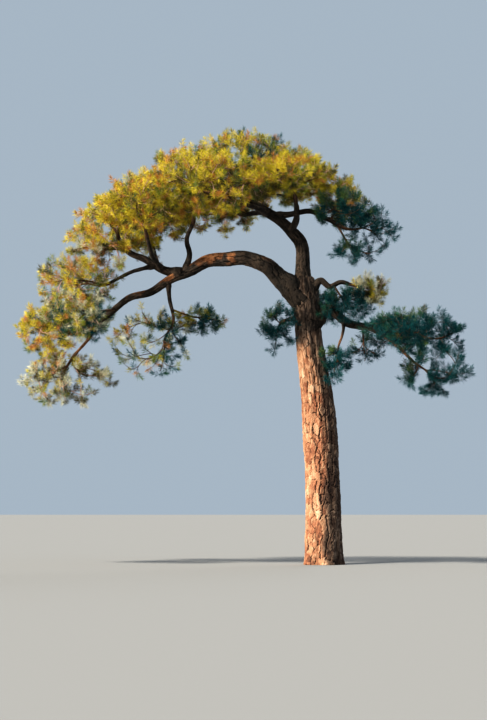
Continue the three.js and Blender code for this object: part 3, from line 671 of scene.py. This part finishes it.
def add_trunk(material):
    """The trunk on its level cut, closed in by a dome inside the leader."""
    top = TRUNK[-1][0][2]
    z = np.linspace(0, top + SHOULDER_HEIGHT, TRUNK_RINGS)
    line = np.column_stack([trunk_middle(z), z])
    dome = np.sqrt(np.clip(1 - ((z - top) / SHOULDER_HEIGHT).clip(0) ** 2, 0.01, 1))
    radius = np.interp(z, TRUNK_LINE[:, 2], TRUNK_RADII) * dome
    angle = 2 * np.pi * np.arange(TRUNK_SPOKES) / TRUNK_SPOKES
    lobe = 0.5 + 0.5 * np.cos(BUTTRESSES * angle)
    flare = np.exp(-z / FLARE_HEIGHT) * FLARE_OUT
    grid = radius[:, None] + flare[:, None] * lobe[None, :]
    grid = grid - long_furrows(angle / (2 * np.pi), z)
    grid = grid * (1 + TRUNK_SWELL * noise(round_and_along(angle, z / 0.9), 0.8, SWELL_SEED))
    across = np.tile([1.0, 0.0, 0.0], (TRUNK_RINGS, 1))
    beside = np.tile([0.0, 1.0, 0.0], (TRUNK_RINGS, 1))
    wood = Wood(line, grid, TRUNK_BARK, TRUNK_SEED, across, beside)
    wood.shade_trunk()
    wood.add("trunk_bark", material, "trunk_bark", ["trunk"])


def chain_line(names):
    """The line of some limbs that go on from each other, with the radius at each point of it."""
    points, radii = [], []
    for name in names:
        _, base, tip, own = LIMBS[name]
        own = np.array(own, dtype=float)
        along = lengths_along(own)
        new = slice(1 if points else 0, None)
        points += list(own[new])
        radii += list((base + (tip - base) * along / along[-1])[new])
    line = smooth_line(points)
    radius = np.interp(np.arange(len(line)) / CURVE_STEPS, np.arange(len(radii)), radii)
    return np.column_stack([line, radius])


def outside(on, places):
    """How far places are outside the trunk or the limb by this name. It is negative inside."""
    if on == "trunk":
        z = places[:, 2]
        aside = np.linalg.norm(places[:, :2] - trunk_middle(z), axis=1)
        return np.maximum(aside - np.interp(z, TRUNK_LINE[:, 2], TRUNK_RADII), z - TRUNK_LINE[-1, 2])
    _, base, tip, _ = LIMBS[on]
    far = np.linalg.norm(places[:, None] - LINES[on][None], axis=-1)
    share = far.argmin(axis=1) / (len(LINES[on]) - 1)
    return far.min(axis=1) - (base + (tip - base) * share)


def limb_bark(base):
    """A plate's width and length and the depth of the fissures on a limb with this radius at its base."""
    width, length = (share * base + least for share, least in (LIMB_PLATE_WIDTH, LIMB_PLATE_LENGTH))
    return width, length, min(LIMB_FISSURES[1], LIMB_FISSURES[0] * base)


def add_limb(names, index, material):
    """Limbs that go on from each other as one, with a collar where the first leaves what carries it."""
    chain = chain_line(names)
    base = chain[0, 3]
    length = lengths_along(chain)[-1]
    step = max(LIMB_STEP, LIMB_STEP_SHARE * base)
    line, along = evenly(chain, max(LIMB_SPOKES[0], round(length / step)))
    radius, line = line[:, 3], line[:, :3]
    around = int(np.clip(round(2 * np.pi * base / step), *LIMB_SPOKES))
    wander = np.stack([noise(line, 0.45, WANDER_SEED + 7 * index + k) for k in range(3)], axis=1)
    free = smooth_step(0, 0.3, along) * smooth_step(0, 0.2, length - along)
    line = line + LIMB_WANDER * radius[:, None] * wander * free[:, None]
    leaves = along[int(np.argmax(outside(LIMBS[names[0]][0], line) > -0.2 * base))]
    radius = radius * (1 + COLLAR * np.exp(-np.clip(along - leaves, 0, None) / (COLLAR_REACH * base)))
    tail = np.sqrt(np.clip((length - along) / radius[-1], 0.04, 1))
    angle = 2 * np.pi * np.arange(around) / around
    lumps = noise(round_and_along(angle, along / (3 * base)), 0.9, LUMP_SEED + index)
    grid = (radius * tail)[:, None] * (1 + LIMB_LUMPS * lumps)
    wood = Wood(line, grid, limb_bark(base), LIMB_SEED + index, *frames_along(line))
    if names[0] == "left_bough":
        wood.shade_left_bough()
    wood.add(names[0] + "_bark", material, "bough_bark", names)


# Growth of a mass: the part's own twigs first, then finer ones, with sprays on both

def stream(seed):
    """The part's own seeded stream of numbers from 0 to 1."""
    state = seed
    while True:
        state = (state + 0x6D2B79F5) & 0xFFFFFFFF
        t = ((state ^ (state >> 15)) * (state | 1)) & 0xFFFFFFFF
        t ^= (t + (t ^ (t >> 7)) * (t | 61)) & 0xFFFFFFFF
        yield ((t ^ (t >> 14)) & 0xFFFFFFFF) / 2**32


def ellipsoid_area(size):
    """The area of an ellipsoid with these half-sizes, to within about one part in a hundred."""
    a, b, c = size
    p = 1.6075
    return 4 * math.pi * (((a * b) ** p + (a * c) ** p + (b * c) ** p) / 3) ** (1 / p)


def main_places(index, centre, size):
    """Where the part puts a mass's sprays: the ends of its axes, then places spread inside."""
    numbers = stream(PART_SEED + index)
    reach = min(PART_REACH, PART_REACH_SHARE * size.min())
    rim = size - PART_RIM_SHARE * reach
    count = max(6, math.floor(PART_SPRAYS_PER_M2 * ellipsoid_area(size) + 0.5))
    ends = [(-1, 0, 0), (1, 0, 0), (0, 0, 1), (0, -1, 0), (0, 1, 0), (0, 0, -1)]
    places = [centre + rim * np.array(way) for way in ends[:count]]
    while len(places) < count:
        tried = []
        for _ in range(PART_TRIES):
            up, turn, share = 2 * next(numbers) - 1, 2 * math.pi * next(numbers), next(numbers)
            flat = math.sqrt(1 - up * up)
            way = np.array([flat * math.cos(turn), flat * math.sin(turn), up])
            tried.append(centre + way * np.cbrt(PART_INNER + (1 - PART_INNER) * share) * rim)
        gaps = [min(np.linalg.norm(place - other) for other in places) for place in tried]
        places.append(tried[int(np.argmax(gaps))])
    return places


def fine_places(rng, name, centre, size, count, index, gaps):
    """Ends for fine twigs, well apart in the mass's outer part, with gaps that show the sky."""
    tries = FINE_TRIES * count
    ways = unit(rng.normal(size=(tries, 3)))
    share = np.cbrt(FINE_INNER + (1 - FINE_INNER) * rng.random(tries))
    share = share * (1 + BULGE * noise(ways, 0.5, BULGE_SEED + index))
    moved, larger = SPREAD.get(name, ((0, 0, 0), (1, 1, 1)))
    tried = centre + moved + ways * share[:, None] * (size * larger - FINE_RIM)
    tried = tried[tried[:, 2] < np.interp(tried[:, 0], *zip(*CROWN_EDGE)) - EDGE_ROOM]
    full = layered_noise(tried, GAP_SIZE, GAP_SEED + index) + GAPS_LOW * (tried[:, 2] - centre[2]) / size[2]
    tried = tried[full > np.quantile(full, gaps)]
    far = np.full(len(tried), FAR_OFF)
    places = []
    while len(places) < count:
        places.append(tried[int(np.argmax(far * (0.6 + 0.4 * rng.random(len(tried)))))])
        far = np.minimum(far, np.linalg.norm(tried - places[-1], axis=1))
    return places


def bent(starts, bends, ends, share):
    """Points on bent lines at a share of their way, and the directions there."""
    share = np.asarray(share, dtype=float)[..., None]
    at = (1 - share) ** 2 * starts + 2 * share * (1 - share) * bends + share**2 * ends
    return at, unit((1 - share) * (bends - starts) + share * (ends - bends))


class Growth:
    """The twigs of one mass. Each is a bent line from a joint on an older twig to a place.

    way and radius are those of the limb's tip, where the stem goes on from it, and else the
    radius is 0. main is how many of the twigs are the part's own."""

    def __init__(self, foot, centre, way, radius):
        self.twigs, self.parents = [], []
        self.joints, self.ways, self.owners = [], [], []
        self.main = 0
        self.radius = radius
        stem_end = foot + STEM_SHARE * (centre - foot)
        bend = 0.5 * (foot + stem_end)
        if radius > 0:
            bend = foot + 0.4 * np.linalg.norm(stem_end - foot) * way
            foot = foot - 1.2 * radius * way
        self.add(foot, bend, stem_end, -1, STEM_JOINTS_AT)

    def add(self, start, bend, end, parent, shares):
        """A twig with joints at these shares of its way."""
        self.twigs.append((start, bend, end))
        self.parents.append(parent)
        joints, ways = bent(start, bend, end, shares)
        self.joints += list(joints)
        self.ways += list(ways)
        self.owners += len(shares) * [len(self.twigs) - 1]

    def grow(self, place, shares, bow):
        """A twig to a place from the joint that is near it and needs no turning back."""
        joints = np.array(self.joints)
        way = place - joints
        length = np.linalg.norm(way, axis=1)
        turn = 1 - np.einsum("ij,ij->i", way / np.maximum(length, 1e-6)[:, None], np.array(self.ways))
        best = int(np.argmin(length * (1 + TURN_COST * turn)))
        start = joints[best]
        bend = start + length[best] * (0.3 * self.ways[best] + 0.25 * unit(way[best]) + bow)
        self.add(start, bend, place, self.owners[best], shares)

    def lines(self):
        """The starts, bends and ends of all twigs."""
        return np.array(self.twigs).transpose(1, 0, 2)

    def weights(self):
        """How many sprays each twig carries, its own and those of the twigs on it."""
        carried = np.ones(len(self.twigs))
        for k in range(len(self.twigs) - 1, 0, -1):
            carried[self.parents[k]] += carried[k]
        return carried


def grow_mass(name, index):
    """The mass's main twigs, as in the part, and then its fine twigs."""
    on, at, centre, size, _, gaps, _ = MASSES[name]
    centre, size = np.array(centre), np.array(size)
    rng = np.random.default_rng(SEED + index)
    line, _ = evenly(LINES[on], LIMB_PLACES + 1)
    foot = line[round(LIMB_PLACES * at)]
    growth = Growth(foot, centre, unit(line[-1] - line[-8]), LIMBS[on][2] if at == 1 else 0)
    places = main_places(index, centre, size)
    stem_end = growth.twigs[0][2]
    for place in sorted(places, key=lambda p: np.linalg.norm(p - stem_end)):
        growth.grow(place, JOINTS_AT, -TWIG_SAG[0] * UP)
    growth.main = len(growth.twigs)
    count = round(FINE_PER_M2 * ellipsoid_area(size) * (1 - gaps) / (1 - USUAL_GAPS))
    fine = fine_places(rng, name, centre, size, count, index, gaps)
    for place in sorted(fine, key=lambda p: np.linalg.norm((p - centre) / size)):
        growth.grow(place, JOINTS_AT, -TWIG_SAG[1] * UP + TWIG_CROOKED * rng.normal(size=3))
    return growth


def spray_twigs(name, growth, rng):
    """Short twigs off the end of each twig but the stem, fanned out and lifted, each for one spray.

    Gives their starts, bends and ends, and which twig each is on."""
    centre = np.array(MASSES[name][2])
    starts, bends, ends = growth.lines()[:, 1:]
    out = []
    for k in range(SPRAYS_EACH):
        share = 1 - (k - 0.5 + rng.random(len(ends))) * SPRAY_STRETCH / SPRAYS_EACH * (k > 0)
        at, way = bent(starts, bends, ends, share)
        aside = rng.normal(size=way.shape)
        aside = unit(aside - way * np.sum(way * aside, axis=1)[:, None])
        fan = SPRAY_FAN[min(k, 1)]
        heading = unit(SPRAY_AHEAD * way + fan * aside + SPRAY_LIFT * UP + SPRAY_OUT * unit(at - centre))
        reach = (SPRAY_TWIG * (0.6 + 0.8 * rng.random(len(ends))))[:, None]
        out.append((at, at + 0.45 * reach * unit(way + heading), at + reach * heading))
    starts, bends, ends = (np.concatenate(part) for part in zip(*out))
    twig = np.tile(np.arange(len(growth.twigs) - 1), SPRAYS_EACH)
    kept = rng.random(len(starts)) < MASSES[name][6]
    return starts[kept], bends[kept], ends[kept], twig[kept]


def tubes(starts, bends, ends, base, tip, rings, sides):
    """Vertices and triangles of tapering tubes along bent lines."""
    share = np.linspace(0, 1, rings)
    at, way = bent(starts[:, None], bends[:, None], ends[:, None], share[None, :])
    across = unit(np.cross(way, np.array([0.31, 0.87, 0.38])))
    beside = np.cross(way, across)
    radius = base[:, None] + (tip - base)[:, None] * share[None, :]
    angle = 2 * np.pi * np.arange(sides) / sides
    ring = turned(angle, across[..., None, :], beside[..., None, :])
    vertices = (at[:, :, None] + radius[..., None, None] * ring).reshape(-1, 3)
    fan = np.stack([0 * np.arange(sides - 2), np.arange(1, sides - 1), np.arange(2, sides)], axis=1)
    tube = np.vstack([ring_faces(rings, sides), fan[:, ::-1], fan + (rings - 1) * sides])
    faces = tube[None] + rings * sides * np.arange(len(starts))[:, None, None]
    return vertices, faces.reshape(-1, 3)


def joined(parts):
    """Several sets of vertices and triangles as one."""
    shifts = np.cumsum([0] + [len(vertices) for vertices, _ in parts[:-1]])
    return np.vstack([v for v, _ in parts]), np.vstack([f + k for (_, f), k in zip(parts, shifts)])


def add_twigs(growths, sprays, barks):
    """Twigs as tapering tubes, thicker where they carry more: the main ones, and fine ones by light."""
    main, fine, names = [], {"sunlit": [], "shaded": []}, {"sunlit": [], "shaded": []}
    for name, growth in growths.items():
        lines = growth.lines()
        weights = SPRAYS_EACH * growth.weights()
        base = TWIG_TIP * weights**TWIG_POWER
        tip = TWIG_TIP * np.maximum(1, 0.35 * weights) ** TWIG_POWER
        base[0] = max(base[0], 0.96 * growth.radius)
        first, rest = slice(0, growth.main), slice(growth.main, None)
        main.append(tubes(*lines[:, first], base[first], tip[first], *MAIN_RINGS_SIDES))
        kind = "sunlit" if MASSES[name][4] > 0.5 else "shaded"
        fine[kind].append(tubes(*lines[:, rest], base[rest], tip[rest], *FINE_RINGS_SIDES))
        thin = np.full(len(sprays[name][0]), TWIG_TIP)
        fine[kind].append(tubes(*sprays[name][:3], thin, 0.6 * thin, *LAST_RINGS_SIDES))
        names[kind].append(name)
    vertices, faces = joined(main)
    values = {
        "plate": np.ones(len(vertices)),
        "flake": np.ones(len(vertices)),
        "tone": 0.5 + 0.4 * noise(vertices, 0.1, TWIG_TONE_SEED),
        "dark_bark_and_painted_shade": np.full(len(vertices), 0.7),
    }
    mesh_piece("main_twigs", vertices, faces, barks["main"], "bough_bark", MASSES, values)
    for kind, parts in fine.items():
        mesh_piece(f"fine_twigs_{kind}", *joined(parts), barks[kind], "bough_bark", names[kind])


# Needles

def spray_tints(places, clusters, masses, rng):
    """The tint of each spray: golden where the photograph's sun falls, dark blue-green away from it.

    The sprays of one twig differ less from each other than from the next twig's."""
    middle, size, light = (np.array([MASSES[name][k] for name in masses]) for k in (2, 3, 4))
    away = (places - middle) / size
    facing = np.einsum("ij,j->i", unit(away), unit(np.array(SUN_FROM)))
    inside = 1 - smooth_step(*INNER_SHADE, np.linalg.norm(away, axis=1))
    lit = np.clip(light, 0, 1)
    own = rng.normal(size=clusters.max() + 1)[clusters]
    chance = TWIG_CHANCE * own + rng.normal(size=len(places))
    score = light + SUN_SIDE * facing - INSIDE * inside
    score += (PATCHES[0] + PATCHES[1] * lit) * layered_noise(places, 0.9, PATCH_SEED)
    score += (CHANCE[0] + CHANCE[1] * lit) * chance
    brown = 0.55 * layered_noise(places, 0.5, BROWN_SEED) + 0.5 * rng.normal(size=len(places)) > BROWN_ABOVE
    grey_above = np.array([GREY_ABOVE.get(name, NEVER) for name in masses])
    grey = 0.5 * layered_noise(places, 0.6, GREY_SEED) + 0.5 * rng.normal(size=len(places)) > grey_above
    shaded = light < SHADED_BELOW
    tint = np.digitize(score, TINT_STEPS)
    tint = np.where(shaded, np.minimum(tint, GREEN), tint)
    too_dark = (tint <= DARK) & (light > SUNLIT_ABOVE)
    umber = too_dark | brown & shaded & (score > BROWN_SCORES["shaded"])
    tint = np.where(brown & ~shaded & (score > BROWN_SCORES["sunlit"]), OCHRE, tint)
    tint = np.where(umber, UMBER, tint)
    return np.where(grey & (score > GREY_SCORE), GREY, tint)


def needle_faces(count):
    """Two triangles for each needle, folded along its length."""
    one = np.array([[0, 1, 2], [0, 2, 3]])
    return (one[None] + 4 * np.arange(count)[:, None, None]).reshape(-1, 3)


def needle_vertices(places, axes, rng):
    """Needles of every spray: they leave the last stretch of its twig, the foremost leaning least."""
    sprays = len(places)
    back = (np.arange(NEEDLES) + rng.random((sprays, NEEDLES))) / NEEDLES
    turn = NEEDLE_TURN * np.arange(NEEDLES) + 6.28 * rng.random((sprays, 1))
    least, more, varied = NEEDLE_LEAN
    lean = np.radians(least + more * back**0.75 + varied * rng.normal(size=back.shape))
    across = unit(np.cross(axes, np.array([0.23, 0.55, 0.8])))
    beside = np.cross(axes, across)
    out = turned(turn, across[:, None], beside[:, None])
    way = unit(np.cos(lean)[..., None] * axes[:, None] + np.sin(lean)[..., None] * out)
    length = NEEDLE_LENGTH * (0.75 + 0.4 * rng.random(back.shape))[..., None]
    root = places[:, None] - SPRAY_DEPTH * back[..., None] * axes[:, None]
    side = unit(np.cross(way, rng.normal(size=way.shape)))
    fold = np.cross(side, way)
    middle = root + 0.42 * length * way + 0.03 * length * UP
    tip = root + length * way - 0.04 * length * UP
    half = 0.5 * NEEDLE_WIDTH
    left = middle + half * side + 0.6 * half * fold
    right = middle - half * side + 0.6 * half * fold
    return np.stack([root, left, tip, right], axis=2).reshape(-1, 3)


def add_needles(growths, sprays):
    """Needles joined by tint, into pieces that stay under the most triangles for one."""
    places, axes, masses, clusters = [], [], [], []
    for number, name in enumerate(growths):
        _, bends, ends, twig = sprays[name]
        clusters.append(twig + MOST_TWIGS * number)
        places.append(ends)
        axes.append(unit(ends - bends + 0.3 * SPRAY_TWIG * UP))
        masses += [name] * len(ends)
    places, axes, masses = np.vstack(places), np.vstack(axes), np.array(masses)
    clusters = np.unique(np.concatenate(clusters), return_inverse=True)[1]
    rng = np.random.default_rng(SEED)
    tints = spray_tints(places, clusters, masses, rng)
    most = MOST_TRIANGLES // (2 * NEEDLES)
    for tint, (name, slot, colour, roughness) in enumerate(TINTS):
        chosen = np.flatnonzero(tints == tint)
        material = plain_material(name, colour, roughness)
        for part, some in enumerate(np.array_split(chosen, max(1, -(-len(chosen) // most)))):
            vertices = needle_vertices(places[some], axes[some], rng)
            faces = needle_faces(len(vertices) // 4)
            replaced = sorted(set(masses[some]))
            mesh_piece(f"{name}_{part + 1}", vertices, faces, material, slot, replaced, smooth=False)


# Materials

def new_material(name, roughness):
    material = bpy.data.materials.new(name)
    material.use_nodes = True
    shader = material.node_tree.nodes["Principled BSDF"]
    shader.inputs["Roughness"].default_value = roughness
    return material, shader


def plain_material(name, colour, roughness, specular=0.2):
    material, shader = new_material(name, roughness)
    shader.inputs["Base Color"].default_value = (*colour, 1)
    shader.inputs["Specular IOR Level"].default_value = specular
    return material


class Shading:
    """Adds nodes to a material. Each function gives the output that the next one takes."""

    def __init__(self, material):
        self.tree = material.node_tree

    def add(self, kind, output, inputs, **settings):
        node = self.tree.nodes.new("ShaderNode" + kind)
        for key, value in settings.items():
            setattr(node, key, value)
        for key, value in inputs.items():
            if isinstance(value, bpy.types.NodeSocket):
                self.tree.links.new(value, node.inputs[key])
            else:
                node.inputs[key].default_value = value
        return node.outputs[output]

    def attribute(self, key):
        return self.add("Attribute", "Fac", {}, attribute_name=key)

    def places(self, stretch):
        """Places in the tree's own space, for textures drawn out along Z where stretch is under 1."""
        own = self.add("TexCoord", "Object", {})
        return self.add("Mapping", "Vector", {"Vector": own, "Scale": (1, 1, stretch)})

    def grain(self, scale, stretch, detail):
        inputs = {"Vector": self.places(stretch), "Scale": scale, "Detail": detail, "Roughness": 0.65}
        return self.add("TexNoise", "Fac", inputs)

    def scales(self, scale):
        """0 at the edges of small scales, and 1 inside them."""
        inputs = {"Vector": self.places(0.5), "Scale": scale}
        away = self.add("TexVoronoi", "Distance", inputs, feature="DISTANCE_TO_EDGE")
        return self.calculated("MULTIPLY", away, 3.0)

    def ramp(self, source, stops):
        output = self.add("ValToRGB", "Color", {"Fac": source})
        elements = output.node.color_ramp.elements
        for element, (position, _) in zip(elements, (stops[0], stops[-1])):
            element.position = position
        for position, _ in stops[1:-1]:
            elements.new(position)
        for element, (_, colour) in zip(elements, stops):
            element.color = (*colour, 1)
        return output

    def mixed(self, share, first, second, blend="MIX"):
        """Two colours mixed. The node's other inputs and outputs are for numbers and vectors."""
        return self.add("Mix", 2, {0: share, 6: first, 7: second}, data_type="RGBA", blend_type=blend)

    def calculated(self, operation, first, second):
        return self.add("Math", "Value", {0: first, 1: second}, operation=operation, use_clamp=True)


def bark_material(name, plate_tones, dark_and_shade_tones, fissure, fibres):
    """Plates from light to dark by the mesh's own tone, with dark fissures and a fibrous grain.

    fibres is how many there are to a metre."""
    material, shader = new_material(name, 0.9)
    on = Shading(material)
    own_tone = on.calculated("MULTIPLY", on.attribute("tone"), 0.8)
    tone = on.calculated("ADD", own_tone, on.calculated("MULTIPLY", on.grain(3.2, 0.5, 3), 0.24))
    # the dark tones take over by the mesh's share of dark bark and painted shade
    colour = on.mixed(on.attribute("dark_bark_and_painted_shade"), on.ramp(tone, plate_tones), on.ramp(tone, dark_and_shade_tones))
    fibrous = on.ramp(on.grain(fibres, 0.22, 5), [(0.32, (0.62, 0.6, 0.58)), (0.62, (1.08, 1.06, 1.04))])
    colour = on.mixed(0.75, colour, fibrous, "MULTIPLY")
    flaky = on.ramp(on.attribute("flake"), [(0.0, (0.6, 0.55, 0.52)), (0.7, (1, 1, 1))])
    colour = on.mixed(0.85, colour, flaky, "MULTIPLY")
    scales = on.scales(1.2 * fibres)
    scaly = on.ramp(scales, [(0.0, (0.6, 0.56, 0.54)), (0.35, (1, 1, 1))])
    colour = on.mixed(0.6, colour, scaly, "MULTIPLY")
    on_plates = on.ramp(on.attribute("plate"), [(0.1, (0, 0, 0)), (0.75, (1, 1, 1))])
    colour = on.mixed(on_plates, (*fissure, 1), colour)
    dull = on.ramp(on.grain(0.8 * fibres, 0.4, 3), [(0.3, 3 * (0.78,)), (0.7, 3 * (0.96,))])
    fine = on.calculated("MULTIPLY", on.grain(1.6 * fibres, 0.25, 6), 0.6)
    relief = {"Height": on.calculated("ADD", fine, scales), "Strength": 0.7, "Distance": 0.008}
    bump = on.add("Bump", "Normal", relief)
    for output, key in ((colour, "Base Color"), (dull, "Roughness"), (bump, "Normal")):
        on.tree.links.new(output, shader.inputs[key])
    return material


# Stage, lights and camera

def add_floor():
    bpy.ops.mesh.primitive_plane_add(size=FLOOR_SIZE, location=FLOOR_MIDDLE)
    floor = bpy.context.object
    floor.name = "floor"
    floor.data.materials.append(plain_material("pale_floor", 3 * (FLOOR_GREY,), 0.9, specular=0))


def add_lights():
    world = bpy.data.worlds.new("pale_studio")
    world.use_nodes = True
    background = world.node_tree.nodes["Background"]
    background.inputs["Color"].default_value = (*WORLD_COLOUR, 1)
    background.inputs["Strength"].default_value = WORLD_LIGHT
    bpy.context.scene.world = world
    for name, (comes_from, strength, colour, width) in LAMPS.items():
        sun = bpy.data.lights.new(name, "SUN")
        sun.energy = strength
        sun.color = colour
        sun.angle = math.radians(width)
        lamp = bpy.data.objects.new(name, sun)
        x, y, z = unit(np.array(comes_from))
        lamp.rotation_euler = (math.acos(z), 0, math.atan2(y, x) + math.pi / 2)
        bpy.context.scene.collection.objects.link(lamp)


def add_camera():
    """A camera far off at eye height, tilted up so that the tree fills the frame's width."""
    data = bpy.data.cameras.new("camera")
    data.sensor_width = CAMERA_SENSOR_MM
    seen_height = SEEN_WIDTH * FRAME_HEIGHT_PX / FRAME_WIDTH_PX
    data.lens = data.sensor_width * CAMERA_DISTANCE / seen_height
    data.clip_end = SEEN_AS_FAR_AS
    camera = bpy.data.objects.new("camera", data)
    camera.location = (SEEN_MIDDLE[0], -CAMERA_DISTANCE, CAMERA_HEIGHT)
    tilt = math.atan2(SEEN_MIDDLE[1] - CAMERA_HEIGHT, CAMERA_DISTANCE)
    camera.rotation_euler = (math.pi / 2 + tilt, 0, 0)
    bpy.context.scene.collection.objects.link(camera)
    bpy.context.scene.camera = camera


def build():
    trunk_bark = bark_material("trunk_bark", TRUNK_TONES, YOUNG_BARK_AND_SHADED_SIDE_TONES, TRUNK_FISSURE, FIBRES_PER_M["trunk"])
    bough_bark = bark_material("bough_bark", ORANGE_BARK_AND_HIGHLIGHT_TONES, BOUGH_AND_PAINTED_SHADE_TONES, BOUGH_FISSURE, FIBRES_PER_M["bough"])
    twig_barks = {
        "main": bough_bark,
        "sunlit": plain_material("twig_bark_sunlit", SUNLIT_TWIG, 0.8),
        "shaded": plain_material("twig_bark_shaded", SHADED_TWIG, 0.8),
    }
    add_trunk(trunk_bark)
    later = sum(LONG_LIMBS.values(), [])
    for index, name in enumerate(LIMBS):
        if name not in later:
            add_limb([name, *LONG_LIMBS.get(name, [])], index, bough_bark)
    growths = {name: grow_mass(name, index) for index, name in enumerate(MASSES)}
    rng = np.random.default_rng(SPRAY_SEED)
    sprays = {name: spray_twigs(name, growth, rng) for name, growth in growths.items()}
    add_twigs(growths, sprays, twig_barks)
    add_needles(growths, sprays)
    add_floor()
    add_lights()
    add_camera()
    bpy.context.scene.view_settings.view_transform = "Standard"
    bpy.context.scene.view_settings.look = "High Contrast"


build()
